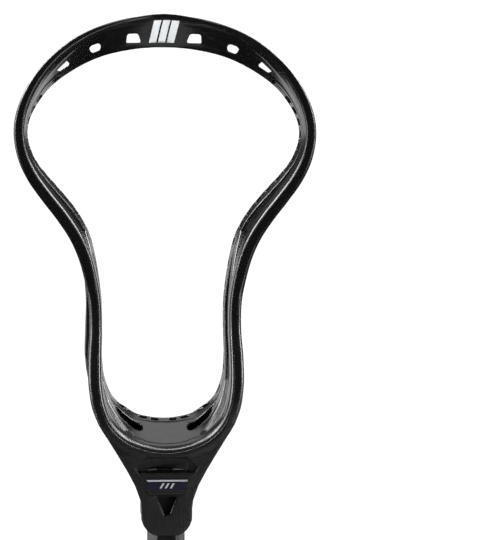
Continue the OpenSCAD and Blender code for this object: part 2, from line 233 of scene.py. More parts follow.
# ---------------------------------------------------------------- the head's solid as a field of distances
G = 0.52
xs = (np.arange(int(94 / G) + 2) - 0.5) * G
ys = np.arange(-22.5, 55.5, G)
hs = np.arange(-2.5, 316.5, G)
nx, ny, nh = len(xs), len(ys), len(hs)
X2, H2 = np.meshgrid(xs, hs, indexing="ij")
T2, A2 = (q.reshape(nx, nh) for q in locate(X2.ravel(), H2.ravel()))
CH = channels(T2)
A2 = A2.astype(np.float32)
yh, hy = np.meshgrid(ys, hs, indexing="ij")
win_top, win_mid, win_low = (polygon(yh, hy, w) for w in (WINDOW_TOP, WINDOW_MID, WINDOW_LOW))
side_face, side_back, side_collar = (polygon(yh, hy, w) for w in (FACE_SIDE, BACK_SIDE, COLLAR_SIDE))
front_face, front_back, front_collar, panel, recess, vee = (
    polygon(X2, H2, both_sides(w)) for w in (THROAT_FRONT, THROAT_BACK, COLLAR_FRONT, PANEL, RECESS, VEE))
F = np.empty((nx, ny, nh), np.float32)
Y3 = ys.astype(np.float32)[None, :, None]


def wall(a, y, t, ch):
    """Distance to the head's wall: a outward from the loop, depth y, row number t."""
    f, b, e, wr, web, rail, rd, bd = ch
    u = np.clip((y - f) / (b - f), -0.05, 1.05)
    ai = a + e * u
    lean = 1 / np.sqrt(1 + (e / (b - f))**2)      # a leaning wall is thinner across than along the loop's plane
    g = step(t, 2.6, 4.2) * (1 - step(t, 17.4, 20.0))
    s = step(t, 2.0, 3.6)
    # face rail: a full roll at the face, a groove, then a lower strip
    roll = round_box(ai, y, 0 * wr, wr, f, f + rd * (1 - 0.44 * g), np.minimum(wr * 0.47, 2.4 + 1.1 * step(t, 11.5, 13.5)))
    strip = round_box(ai, y, 0 * wr, wr - 1.1 * g, f + rd * 0.5, f + rd + 0 * wr, 1.0)
    d = smin(roll, np.where(g > 0.01, strip, roll), 0.5)
    # web between the rails
    d = smin(d, round_box(ai, y, 0 * wr + 0.2 * s, web, f + np.minimum(rd * 0.6, 4), b - 1.2, 0.9), 1.6)
    # back rail: ridge, groove, strip with the string holes
    ridge = round_box(ai, y, 0.1 + 0 * wr, rail, b - bd, b - bd * (1 - 0.24 * g) + (1 - g) * bd * 0.75, 1.2)
    holes = round_box(ai, y, 0 * wr, rail - 0.7 * g, b - bd * 0.66, b + 0 * wr, 1.3)
    groove = round_box(ai, y, 0.3 + 0 * wr, rail - 1.7 * g, b - bd * 0.9, b - bd * 0.5, 0.4)
    d2 = smin(smin(ridge, holes, 0.4), groove, 0.4)
    return smin(d, d2, 1.2) * lean


for s in range(0, nh, 48):
    z = slice(s, min(s + 48, nh))
    ch = [c[:, None, z] for c in CH]
    F[:, :, z] = wall(A2[:, None, z], Y3, T2[:, None, z].astype(np.float32), ch)

ax = np.abs(xs).astype(np.float32)[:, None, None]


def part(h0, h1):
    return slice(max(0, int((h0 + 2.5) / G)), min(nh, int((h1 + 2.5) / G) + 1))


# throat: face plate, back strap and collar
z = part(-3, 90)
plate = smax(front_face[:, None, z], side_face[None, :, z], 1.6)
strap = smax(front_back[:, None, z], side_back[None, :, z], 1.6)
collar = smax(front_collar[:, None, z], side_collar[None, :, z], 1.8)
throat = smin(smin(plate, strap, 1.5), collar, 1.2)
raised = smax(panel[:, None, z], np.maximum(-19.2 - Y3, Y3 + 8.6), 0.9)
throat = smin(throat, raised, 0.3)
hexcut = smax(recess[:, None, z], np.maximum(Y3 + 15.8, -30 - Y3), 0.6)
hh = hs[z].astype(np.float32)[None, None, :]
slot = round_box(hh, ax, 38.0, 42.4, -12.6, 12.6, 0.5)
# the V narrows towards the shaft
vcut = vee[:, None, z] + np.clip((Y3 + 17.6) * 0.85, 0, 1.4) + np.clip((Y3 + 15.9) * 0.1, 0, 1)
throat = smax(throat, -np.maximum(vcut, Y3 + 7.0), 0.6)
F[:, :, z] = smax(smin(F[:, :, z], throat, 1.0), -hexcut, 0.5)
F[:, :, z] = smax(F[:, :, z], -np.maximum(slot, Y3 + 6), 0.4)

# side openings
for win, lim in ((win_top, 25.0), (win_mid, 20.0), (win_low, 14.2)):
    F[:] = smax(F, -smax(win[None, :, :], lim - ax, 1.0), 1.0)

# the shaft's socket, the screw hole and its counterbore
z = part(-3, 40)
oct2 = polygon(*np.meshgrid(xs, ys, indexing="ij"), octagon(22.3, 25.7, 5.6, 0.35))[:, :, None]
F[:, :, z] = smax(F[:, :, z], -np.maximum(oct2, hh[:, :, :z.stop - z.start] - 36), 0.35)
z = part(0, 18)
rr = np.sqrt(ax**2 + (hs[z].astype(np.float32)[None, None, :] - 8.2)**2)
F[:, :, z] = smax(F[:, :, z], -np.maximum(rr - 2.1, 8 - Y3), 0.3)
F[:, :, z] = smax(F[:, :, z], -np.maximum(rr - 3.8, 14.2 - Y3), 0.4)


def outward(t):
    i = np.searchsorted(NUM, t)
    d = ROWS[i + 1, :2] - ROWS[i - 1, :2]
    d /= np.linalg.norm(d)
    return np.array([-d[1], d[0]])


def rows_at(t):
    return np.array([np.interp(t, NUM, ROWS[:, c]) for c in range(10)])


def string_cut(t, from_back, w, d, tilt=0.0):
    """A rounded hole through the wall, w along it and d deep in y, opened out at both ends."""
    r, n = rows_at(t), outward(t)
    y = r[3] - from_back
    u = (y - r[2]) / (r[3] - r[2])
    a = -r[4] * u + r[7] / 2
    c = np.array([r[0] + n[0] * a, r[1] + n[1] * a])
    half = 10
    ix = slice(max(0, int((c[0] - half) / G)), min(nx, int((c[0] + half) / G) + 2))
    iy = slice(max(0, int((y - half + 22.5) / G)), min(ny, int((y + half + 22.5) / G) + 2))
    iz = slice(max(0, int((c[1] - half + 2.5) / G)), min(nh, int((c[1] + half + 2.5) / G) + 2))
    gx, gy, gh = np.meshgrid(xs[ix], ys[iy], hs[iz], indexing="ij")
    dn = (gx - c[0]) * n[0] + (gh - c[1]) * n[1]
    dt = -(gx - c[0]) * n[1] + (gh - c[1]) * n[0]
    dy = gy - y
    ct, st = math.cos(math.radians(tilt)), math.sin(math.radians(tilt))
    dt, dy = ct * dt + st * dy, -st * dt + ct * dy
    flare = np.maximum(np.abs(dn) - (r[7] / 2 - 0.8), 0) * 0.6
    hole = round_box(dt, dy, -w / 2, w / 2, -d / 2, d / 2, 1.3) - np.minimum(flare, 0.4)
    F[ix, iy, iz] = smax(F[ix, iy, iz], -np.maximum(hole, np.abs(dn) - 12).astype(np.float32), 0.4)


def t_of_h(h):
    m = (NUM >= 3) & (NUM <= 20)
    return float(np.interp(-h, -ROWS[m, 1], NUM[m]))


def t_of_x(x):
    m = (NUM >= 18) & (NUM <= 21)
    return float(np.interp(-x, -ROWS[m, 0], NUM[m]))


for i in range(12):
    string_cut(t_of_h(262.2 - 7.2 * i), 5.1, 4.6, 5.4)
for i in range(9):
    string_cut(t_of_h(172.8 - 13 * i), 4.9, 4.6, 4.6)
string_cut(t_of_h(275.6), 5.4, 4.2, 4.8)
for x in (7.9, 17.4):
    string_cut(t_of_x(x), 4.6, 5.6, 2.6)
string_cut(t_of_x(29), 4.4, 3.0, 2.8)
string_cut(t_of_x(34.0), 4.6, 4.6, 2.6)

# scoop holes run along the line of sight
ix, iy, iz = slice(0, int(78 / G)), slice(int((14 + 22.5) / G), ny), part(262, 314)
gx, gy, gh = np.meshgrid(xs[ix], ys[iy], hs[iz], indexing="ij")
k = 1 + gy / EYE_MM
vx, vh = gx / k, (gh + Z0 - EYE_ZMM) / k
cut = np.full(gx.shape, 50.0, np.float32)
for hole in SCOOP_HOLES:
    lo, hi = np.min(hole, 0) - 3, np.max(hole, 0) + 3
    m = (vx > lo[0]) & (vx < hi[0]) & (vh > lo[1]) & (vh < hi[1])
    cut[m] = np.minimum(cut[m], polygon(vx[m], vh[m], hole))
F[ix, iy, iz] = smax(F[ix, iy, iz], -cut, 0.5)
ix, iy, iz = slice(int(10 / G), int(40 / G)), slice(int((22.5 - 9) / G), int((24 + 22.5) / G) + 2), part(52, 86)
gx, gy, gh = np.meshgrid(xs[ix], ys[iy], hs[iz], indexing="ij")
k = 1 + gy / EYE_MM
cut = smax(polygon(gx / k, (gh + Z0 - EYE_ZMM) / k, CORNER_SLOT), gy - 24, 1.0)
F[ix, iy, iz] = smax(F[ix, iy, iz], -cut.astype(np.float32), 0.5)
del gx, gy, gh, k, vx, vh, cut


# ---------------------------------------------------------------- surface of the field
def sample(p):
    """The field at points p, in mm (x, y, h)."""
    q = np.stack([(p[:, 0] / G + 0.5), (p[:, 1] + 22.5) / G, (p[:, 2] + 2.5) / G], 1)
    lim = np.array([nx - 2, ny - 2, nh - 2])
    i = np.clip(np.floor(q).astype(int), 0, lim)
    w = np.clip(q - i, 0, 1)
    out = 0
    for a in (0, 1):
        for b in (0, 1):
            for c in (0, 1):
                wt = (w[:, 0] if a else 1 - w[:, 0]) * (w[:, 1] if b else 1 - w[:, 1]) * (w[:, 2] if c else 1 - w[:, 2])
                out = out + wt * F[i[:, 0] + a, i[:, 1] + b, i[:, 2] + c]
    return out


def gradient(p, d=0.45):
    ap = p.copy()
    g = np.empty_like(p)
    for c in range(3):
        lo, hi = ap.copy(), ap.copy()
        lo[:, c] -= d * G
        hi[:, c] += d * G
        if c == 0:
            lo[:, 0], hi[:, 0] = np.abs(lo[:, 0]), np.abs(hi[:, 0])
        g[:, c] = (sample(hi) - sample(lo)) / (2 * d * G)
    return g


def surface():
    """Points and four-sided faces of the zero surface on the half x >= 0."""
    neg = F < 0
    act = np.zeros((nx - 1, ny - 1, nh - 1), np.uint8)
    for a in (0, 1):
        for b in (0, 1):
            for c in (0, 1):
                act += neg[a:nx - 1 + a, b:ny - 1 + b, c:nh - 1 + c]
    cells = np.argwhere((act > 0) & (act < 8))
    index = np.full(act.shape, -1, np.int32)
    index[cells[:, 0], cells[:, 1], cells[:, 2]] = np.arange(len(cells))
    total, count = np.zeros((len(cells), 3)), np.zeros(len(cells))
    for axis in range(3):
        o1, o2 = [c for c in range(3) if c != axis]
        for a in (0, 1):
            for b in (0, 1):
                p0 = cells.copy()
                p0[:, o1] += a
                p0[:, o2] += b
                p1 = p0.copy()
                p1[:, axis] += 1
                v0 = F[p0[:, 0], p0[:, 1], p0[:, 2]].astype(float)
                v1 = F[p1[:, 0], p1[:, 1], p1[:, 2]].astype(float)
                m = (v0 < 0) != (v1 < 0)
                u = v0[m] / (v0[m] - v1[m])
                pt = p0[m].astype(float)
                pt[:, axis] += u
                total[m] += pt
                count[m] += 1
    pts = total / count[:, None]
    pts = np.stack([(pts[:, 0] - 0.5) * G, pts[:, 1] * G - 22.5, pts[:, 2] * G - 2.5], 1)
    middle = cells[:, 0] == 0
    pts[middle, 0] = 0
    quads = []
    for axis in range(3):
        sl0 = [slice(1, n - 1) for n in (nx, ny, nh)]
        sl1 = [slice(1, n - 1) for n in (nx, ny, nh)]
        sl0[axis], sl1[axis] = slice(0, -1), slice(1, None)
        n0, n1 = neg[tuple(sl0)], neg[tuple(sl1)]
        at = np.argwhere(n0 != n1)
        start = n0[at[:, 0], at[:, 1], at[:, 2]]
        off = np.array([0 if c == axis else 1 for c in range(3)])
        at = at + off
        o1, o2 = [(1, 2), (2, 0), (0, 1)][axis]
        corner = []
        for a, b in ((0, 0), (1, 0), (1, 1), (0, 1)):
            q = at.copy()
            q[:, o1] -= 1 - a
            q[:, o2] -= 1 - b
            corner.append(index[q[:, 0], q[:, 1], q[:, 2]])
        quad = np.stack(corner, 1)
        quad[~start] = quad[~start][:, ::-1]
        quads.append(quad)
    return pts, np.concatenate(quads), middle


pts, quads, middle = surface()
for _ in range(2):
    g = gradient(pts)
    move = -sample(pts)[:, None] * g / np.maximum((g**2).sum(1), 0.2)[:, None]
    move = np.clip(move, -0.3 * G, 0.3 * G)
    move[middle, 0] = 0
    pts = pts + move
# mirror the half
other = np.arange(len(pts))
free = np.flatnonzero(~middle)
other[free] = len(pts) + np.arange(len(free))
mirrored = pts[free] * np.array([-1, 1, 1])
quads = np.concatenate([quads, other[quads][:, ::-1]])
pts = np.concatenate([pts, mirrored])


def mesh_object(name, verts, faces, smooth=True):
    me = bpy.data.meshes.new(name)
    me.from_pydata([tuple(map(float, v)) for v in verts], [], [tuple(map(int, f)) for f in faces])
    me.validate()
    me.update()
    if smooth:
        me.polygons.foreach_set("use_smooth", [True] * len(me.polygons))
    ob = bpy.data.objects.new(name, me)
    bpy.context.scene.collection.objects.link(ob)
    return ob


def apply_modifiers(ob):
    dg = bpy.context.evaluated_depsgraph_get()
    me = bpy.data.meshes.new_from_object(ob.evaluated_get(dg))
    ob.modifiers.clear()
    old = ob.data
    ob.data = me
    me.name = ob.name
    bpy.data.meshes.remove(old)


def verts_of(me):
    co = np.empty(len(me.vertices) * 3, np.float32)
    me.vertices.foreach_get("co", co)
    return co.reshape(-1, 3).astype(float)


def to_world(p):
    return (p + np.array([0, 0, Z0])) / 1000


head = mesh_object("head_moulding", to_world(pts), quads)
# islands smaller than a real feature are cut away
bm = bmesh.new()
bm.from_mesh(head.data)
seen, groups = set(), []
for v in bm.verts:
    if v.index in seen:
        continue
    stack, grp = [v], []
    seen.add(v.index)
    while stack:
        w = stack.pop()
        grp.append(w)
        for e in w.link_edges:
            o = e.other_vert(w)
            if o.index not in seen:
                seen.add(o.index)
                stack.append(o)
    groups.append(grp)
groups.sort(key=len, reverse=True)
for grp in groups[1:]:
    bmesh.ops.delete(bm, geom=grp, context="VERTS")
bm.to_mesh(head.data)
bm.free()
print("head islands", [len(g) for g in groups][:6], "faces", len(head.data.polygons))
tri = 2 * len(head.data.polygons)
dec = head.modifiers.new("reduce", "DECIMATE")
dec.ratio = min(1.0, 190000 / tri)
dec.use_symmetry = True
dec.symmetry_axis = "X"
apply_modifiers(head)
me = head.data
co = verts_of(me)
local = co * 1000 - np.array([0, 0, Z0])
flip = np.where(local[:, 0] < 0, -1.0, 1.0)
half = local.copy()
half[:, 0] = np.abs(half[:, 0])
n = gradient(half, 0.6)
n[:, 0] *= flip
n /= np.linalg.norm(n, axis=1)[:, None] + 1e-9
me.polygons.foreach_set("use_smooth", [True] * len(me.polygons))
me.normals_split_custom_set_from_vertices([tuple(v) for v in n])
tt, aa = locate(half[:, 0], half[:, 2])
ch = channels(tt)
uu = np.clip((local[:, 1] - ch[0]) / (ch[1] - ch[0]), -0.1, 1.1)
ai = aa + ch[2] * uu
for key, val in (("ai", ai), ("depth", local[:, 1] - ch[0]), ("row", tt), ("high", local[:, 2]), ("from_back", ch[1] - local[:, 1])):
    at = me.attributes.new(key, "FLOAT", "POINT")
    at.data.foreach_set("value", val.astype(np.float32))
del F
print("head triangles", sum(len(p.vertices) - 2 for p in me.polygons))
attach(head, "root")
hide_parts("head")


# ---------------------------------------------------------------- materials
def material(name):
    m = bpy.data.materials.new(name)
    m.use_nodes = True
    nt = m.node_tree
    return m, nt, nt.nodes["Principled BSDF"]


def node(nt, kind, **inputs):
    nd = nt.nodes.new(kind)
    for key, val in inputs.items():
        if key in nd.inputs:
            nd.inputs[key].default_value = val
    return nd


def math_node(nt, op, a, b=None, clamp=False):
    nd = nt.nodes.new("ShaderNodeMath")
    nd.operation = op
    nd.use_clamp = clamp
    for i, v in enumerate((a, b)):
        if v is None:
            continue
        if isinstance(v, (int, float)):
            nd.inputs[i].default_value = v
        else:
            nt.links.new(v, nd.inputs[i])
    return nd.outputs[0]


def attribute(nt, name):
    nd = nt.nodes.new("ShaderNodeAttribute")
    nd.attribute_name = name
    return nd.outputs["Fac"]


def band(nt, v, lo, hi, soft):
    """1 between lo and hi, falling to 0 over soft."""
    a = nt.nodes.new("ShaderNodeMapRange")
    a.interpolation_type = "SMOOTHSTEP"
    nt.links.new(v, a.inputs["Value"])
    a.inputs["From Min"].default_value = lo - soft
    a.inputs["From Max"].default_value = lo
    b = nt.nodes.new("ShaderNodeMapRange")
    b.interpolation_type = "SMOOTHSTEP"
    nt.links.new(v, b.inputs["Value"])
    b.inputs["From Min"].default_value = hi
    b.inputs["From Max"].default_value = hi + soft
    b.inputs["To Min"].default_value = 1
    b.inputs["To Max"].default_value = 0
    return math_node(nt, "MULTIPLY", a.outputs["Result"], b.outputs["Result"])


def colour_mix(nt, fac, c0, c1):
    nd = nt.nodes.new("ShaderNodeMix")
    nd.data_type = "RGBA"
    nd.inputs[6].default_value = (*c0, 1)
    nd.inputs[7].default_value = (*c1, 1)
    nt.links.new(fac, nd.inputs[0])
    return nd.outputs[2]


def grain(nt, pitch):
    """Height of a fine diagonal diamond grain, 0 to 1, of that pitch in metres."""
    tc = nt.nodes.new("ShaderNodeTexCoord")
    sep = nt.nodes.new("ShaderNodeSeparateXYZ")
    nt.links.new(tc.outputs["Object"], sep.inputs[0])
    k = 2 * math.pi / pitch
    across = math_node(nt, "ADD", sep.outputs[0], sep.outputs[1])
    p = math_node(nt, "MULTIPLY", math_node(nt, "ADD", sep.outputs[2], across), k * 0.7071)
    q = math_node(nt, "MULTIPLY", math_node(nt, "SUBTRACT", sep.outputs[2], across), k * 0.7071)
    w = math_node(nt, "MULTIPLY", math_node(nt, "SINE", p), math_node(nt, "SINE", q))
    return math_node(nt, "ADD", math_node(nt, "MULTIPLY", w, 0.5), 0.5)


m, nt, bsdf = material("black_nylon")
L = nt.links
ai_s, dep, row_s, high, back_s = (attribute(nt, k) for k in ("ai", "depth", "row", "high", "from_back"))
noise = node(nt, "ShaderNodeTexNoise", Scale=60.0, Detail=4.0, Roughness=0.6)
fine = node(nt, "ShaderNodeTexNoise", Scale=900.0, Detail=2.0)
tc = nt.nodes.new("ShaderNodeTexCoord")
L.new(tc.outputs["Object"], noise.inputs["Vector"])
L.new(tc.outputs["Object"], fine.inputs["Vector"])
# where the moulding is grained: throat and collar, and the recess between the rails
low = band(nt, high, -5, 62, 34)
not_roll = band(nt, ai_s, 2.2, 200, 0.3)
throat_m = math_node(nt, "MULTIPLY", low, not_roll)
web_m = math_node(nt, "MULTIPLY", band(nt, row_s, 3.4, 17, 0.4), math_node(nt, "MULTIPLY", band(nt, dep, 7.2, 60, 0.8), math_node(nt, "MULTIPLY", band(nt, back_s, 13.5, 80, 0.8), band(nt, ai_s, 1.6, 20, 0.5))))
mask = math_node(nt, "MAXIMUM", throat_m, web_m)
g1 = grain(nt, 0.00115)
geo_h = math_node(nt, "MULTIPLY", g1, mask)
# a hairline beside the inner edge of the face, round the lower part of the loop
line = math_node(nt, "MULTIPLY", band(nt, ai_s, 1.75, 2.05, 0.12), band(nt, dep, -5, 2.5, 0.5))
line = math_node(nt, "MULTIPLY", line, band(nt, row_s, 15.5, 30, 0.8))
height = math_node(nt, "SUBTRACT", math_node(nt, "MULTIPLY", geo_h, 0.9), math_node(nt, "MULTIPLY", line, 1.6))
height = math_node(nt, "ADD", height, math_node(nt, "MULTIPLY", fine.outputs["Fac"], 0.05))
bump = node(nt, "ShaderNodeBump", Strength=0.8, Distance=0.00022)
L.new(height, bump.inputs["Height"])
L.new(bump.outputs["Normal"], bsdf.inputs["Normal"])
L.new(colour_mix(nt, noise.outputs["Fac"], (0.003, 0.0029, 0.003), (0.006, 0.0058, 0.006)), bsdf.inputs["Base Color"])
rough = math_node(nt, "ADD", math_node(nt, "MULTIPLY", mask, 0.06), math_node(nt, "ADD", 0.2, math_node(nt, "MULTIPLY", noise.outputs["Fac"], 0.1)))
L.new(rough, bsdf.inputs["Roughness"])
bsdf.inputs["Specular IOR Level"].default_value = 0.5
head.data.materials.clear()
head.data.materials.append(m)

m, nt, bsdf = material("shaft_satin")
L = nt.links
tc = nt.nodes.new("ShaderNodeTexCoord")
mp = nt.nodes.new("ShaderNodeMapping")
mp.inputs["Scale"].default_value = (1, 1, 0.03)
L.new(tc.outputs["Object"], mp.inputs["Vector"])
noise = node(nt, "ShaderNodeTexNoise", Scale=700.0, Detail=5.0, Roughness=0.65)
L.new(mp.outputs["Vector"], noise.inputs["Vector"])
blotch = node(nt, "ShaderNodeTexNoise", Scale=22.0, Detail=3.0)
L.new(tc.outputs["Object"], blotch.inputs["Vector"])
L.new(colour_mix(nt, blotch.outputs["Fac"], (0.006, 0.006, 0.0065), (0.011, 0.011, 0.0115)), bsdf.inputs["Base Color"])
L.new(math_node(nt, "ADD", 0.42, math_node(nt, "MULTIPLY", noise.outputs["Fac"], 0.14)), bsdf.inputs["Roughness"])
bump = node(nt, "ShaderNodeBump", Strength=0.25, Distance=0.00005)
L.new(noise.outputs["Fac"], bump.inputs["Height"])
L.new(bump.outputs["Normal"], bsdf.inputs["Normal"])
bsdf.inputs["Metallic"].default_value = 0.0
bsdf.inputs["Specular IOR Level"].default_value = 0.4
shaft_mat = m

m, nt, bsdf = material("cap_rubber")
L = nt.links
tc = nt.nodes.new("ShaderNodeTexCoord")
noise = node(nt, "ShaderNodeTexNoise", Scale=1400.0, Detail=3.0)
L.new(tc.outputs["Object"], noise.inputs["Vector"])
dust = node(nt, "ShaderNodeTexNoise", Scale=70.0, Detail=5.0)
L.new(tc.outputs["Object"], dust.inputs["Vector"])
L.new(colour_mix(nt, dust.outputs["Fac"], (0.012, 0.012, 0.012), (0.03, 0.029, 0.028)), bsdf.inputs["Base Color"])
L.new(math_node(nt, "ADD", 0.62, math_node(nt, "MULTIPLY", dust.outputs["Fac"], 0.2)), bsdf.inputs["Roughness"])
bump = node(nt, "ShaderNodeBump", Strength=0.5, Distance=0.00012)
L.new(noise.outputs["Fac"], bump.inputs["Height"])
L.new(bump.outputs["Normal"], bsdf.inputs["Normal"])
rubber_mat = m

m, nt, bsdf = material("dark_zinc")
L = nt.links
tc = nt.nodes.new("ShaderNodeTexCoord")
noise = node(nt, "ShaderNodeTexNoise", Scale=1800.0, Detail=4.0)
L.new(tc.outputs["Object"], noise.inputs["Vector"])
L.new(colour_mix(nt, noise.outputs["Fac"], (0.1, 0.1, 0.105), (0.2, 0.2, 0.21)), bsdf.inputs["Base Color"])
L.new(math_node(nt, "ADD", 0.24, math_node(nt, "MULTIPLY", noise.outputs["Fac"], 0.2)), bsdf.inputs["Roughness"])
bsdf.inputs["Metallic"].default_value = 1.0
zinc_mat = m

m, nt, bsdf = material("badge_gloss")
L = nt.links
tc = nt.nodes.new("ShaderNodeTexCoord")
noise = node(nt, "ShaderNodeTexNoise", Scale=300.0, Detail=3.0)
L.new(tc.outputs["Object"], noise.inputs["Vector"])
L.new(colour_mix(nt, noise.outputs["Fac"], (0.014, 0.015, 0.03), (0.024, 0.026, 0.045)), bsdf.inputs["Base Color"])
L.new(math_node(nt, "ADD", 0.12, math_node(nt, "MULTIPLY", noise.outputs["Fac"], 0.1)), bsdf.inputs["Roughness"])
badge_mat = m

m, nt, bsdf = material("bright_foil")
L = nt.links
tc = nt.nodes.new("ShaderNodeTexCoord")
noise = node(nt, "ShaderNodeTexNoise", Scale=500.0, Detail=3.0)
L.new(tc.outputs["Object"], noise.inputs["Vector"])
L.new(colour_mix(nt, noise.outputs["Fac"], (0.62, 0.63, 0.68), (0.82, 0.83, 0.87)), bsdf.inputs["Base Color"])
L.new(math_node(nt, "ADD", 0.3, math_node(nt, "MULTIPLY", noise.outputs["Fac"], 0.15)), bsdf.inputs["Roughness"])
bsdf.inputs["Metallic"].default_value = 0.3
foil_mat = m

m, nt, bsdf = material("white_print")
L = nt.links
tc = nt.nodes.new("ShaderNodeTexCoord")
noise = node(nt, "ShaderNodeTexNoise", Scale=800.0, Detail=4.0)
L.new(tc.outputs["Object"], noise.inputs["Vector"])
L.new(colour_mix(nt, noise.outputs["Fac"], (0.84, 0.86, 0.87), (0.9, 0.92, 0.93)), bsdf.inputs["Base Color"])
L.new(math_node(nt, "ADD", 0.4, math_node(nt, "MULTIPLY", noise.outputs["Fac"], 0.2)), bsdf.inputs["Roughness"])
print_mat = m

# ---------------------------------------------------------------- shaft
def shaft_profile(w, d, c, hollow, r, seg=5, flat=6):
    """Closed outline of the eight-sided tube: hollowed flats joined by rounded corners."""
    q = [(w / 2, -d / 2 + c), (w / 2, d / 2 - c), (w / 2 - c, d / 2), (-w / 2 + c, d / 2),
         (-w / 2, d / 2 - c), (-w / 2, -d / 2 + c), (-w / 2 + c, -d / 2), (w / 2 - c, -d / 2)]
    q = [np.array(p, float) for p in q]
    out = []
    for i in range(8):
        p, a, b = q[i], q[i - 1], q[(i + 1) % 8]
        ua, ub = (a - p) / np.linalg.norm(a - p), (b - p) / np.linalg.norm(b - p)
        cut = r * math.tan(math.radians(22.5))
        p0, p1 = p + ua * cut, p + ub * cut
        for j in range(seg + 1):
            t = j / seg
            out.append(p0 * (1 - t)**2 + p * 2 * t * (1 - t) + p1 * t * t)
        nxt, uc = q[(i + 1) % 8], (p - b) / np.linalg.norm(p - b)
        e0, e1 = p1, nxt + uc * cut
        nrm = np.array([ub[1], -ub[0]])
        for j in range(1, flat):
            t = j / flat
            out.append(e0 * (1 - t) + e1 * t - nrm * hollow * (1 if i % 2 == 0 else 0.6) * 4 * t * (1 - t) * (1 if np.dot(nrm, p) > 0 else -1))
    return np.array(out)


def loft(name, rings, closed=True):
    """Skin over rings of equal length; closed joins the last ring to the first."""
    n, k = len(rings), len(rings[0])
    verts = np.concatenate(rings)
    faces = []
    for i in range(n if closed else n - 1):
        for j in range(k):
            a, b = i * k + j, i * k + (j + 1) % k
            c, d = ((i + 1) % n) * k + (j + 1) % k, ((i + 1) % n) * k + j
            faces.append((a, b, c, d))
    return verts, faces


def at_height(profile, z):
    return np.column_stack([profile, np.full(len(profile), z)]) / 1000


z_lo, z_hi = FLOOR_T, FLOOR_T + SHAFT_L
outer = shaft_profile(22.0, 25.4, 5.6, 0.35, 1.4)
inner = shaft_profile(19.4, 22.8, 4.8, 0.3, 1.0)
rings = [at_height(inner, z_lo)]
rings += [at_height(outer * 0.985, z_lo), at_height(outer, z_lo + 0.3)]
rings += [at_height(outer, z_lo + (z_hi - z_lo) * f) for f in (0.25, 0.5, 0.75)]
rings += [at_height(outer, z_hi - 0.3), at_height(outer * 0.985, z_hi), at_height(inner * 1.01, z_hi), at_height(inner, z_hi - 0.3)]
verts, faces = loft("shaft_tube", rings)
shaft = mesh_object("shaft_tube", verts, faces)
bm = bmesh.new()
bm.from_mesh(shaft.data)
bmesh.ops.recalc_face_normals(bm, faces=bm.faces)
bm.to_mesh(shaft.data)
bm.free()
shaft.data.materials.append(shaft_mat)
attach(shaft, "root")
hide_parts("shaft")

# ---------------------------------------------------------------- butt cap
def cap_ring(grow, z):
    return at_height(shaft_profile(22.0 + 2 * grow, 25.4 + 2 * grow, 5.6 + grow * 0.42, 0.0, 2.4, 5, 3), z)


steps = [(0.1, 30), (1.9, 30), (2.3, 29.7), (2.4, 29.2)]
for z in (26.4, 21, 15, 9):
    top = z if z == 26.4 else z + 2.4
    steps += [(2.4, top + 0.5), (2.75, top + 0.2), (3.1, top - 0.3), (3.2, top - 0.9), (3.2, top - 1.5), (3.1, top - 2.1), (2.75, top - 2.6), (2.4, top - 2.9)]
steps += [(2.4, 7.4), (2.8, 7.1), (3.2, 6.6), (3.2, 2.2), (3.0, 1.2), (2.5, 0.5), (1.8, 0.1), (1.0, 0.0)]
steps = [(g, min(z, 30.0)) for g, z in steps]
rings = [cap_ring(0.1, 4.0)] + [cap_ring(g, z) for g, z in steps]
verts, faces = loft("butt_cap_rubber", rings, closed=False)
k = len(rings[0])
faces.append(tuple(range(k))[::-1])
faces.append(tuple(range((len(rings) - 1) * k, len(rings) * k)))
cap = mesh_object("butt_cap_rubber", verts, faces)
bm = bmesh.new()
bm.from_mesh(cap.data)
bmesh.ops.recalc_face_normals(bm, faces=bm.faces)
bm.to_mesh(cap.data)
bm.free()
cap.data.materials.append(rubber_mat)
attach(cap, "root")
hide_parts("butt_cap")

# ---------------------------------------------------------------- badge
def slab(name, outline, y0, y1, bevel, mat):
    """A plate with the outline (x, h) between depths y0 (front) and y1, its front edge rounded."""
    pts2 = np.array(outline, float)
    c = pts2.mean(0)
    me_v, me_f = [], []
    layers = [(1.0, y1), (1.0, y0 + bevel), (0.985, y0 + bevel * 0.3), (0.955, y0)]
    rings = []
    for s, y in layers:
        d = pts2 - c
        ln = np.linalg.norm(d, axis=1)[:, None]
        q = c + d * np.maximum((ln - bevel * (1 - s) / 0.045) / ln, 0.1)
        rings.append(np.column_stack([q[:, 0], np.full(len(q), y), q[:, 1] + Z0]) / 1000)
    v, f = loft(name, rings, closed=False)
    k = len(pts2)
    f.append(tuple(range(k))[::-1])
    f.append(tuple(range(3 * k, 4 * k)))
    ob = mesh_object(name, v, f, smooth=False)
    b = bmesh.new()
    b.from_mesh(ob.data)
    bmesh.ops.recalc_face_normals(b, faces=b.faces)
    b.to_mesh(ob.data)
    b.free()
    ob.data.materials.append(mat)
    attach(ob, "root")
    return ob


def rounded(points, r, seg=4):
    p = [np.array(q, float) for q in points]
    out = []
    for i in range(len(p)):
        a, b, c = p[i - 1], p[i], p[(i + 1) % len(p)]
        ua, uc = (a - b) / np.linalg.norm(a - b), (c - b) / np.linalg.norm(c - b)
        for j in range(seg + 1):
            t = j / seg
            out.append((b + ua * r) * (1 - t)**2 + b * 2 * t * (1 - t) + (b + uc * r) * t * t)
    return out


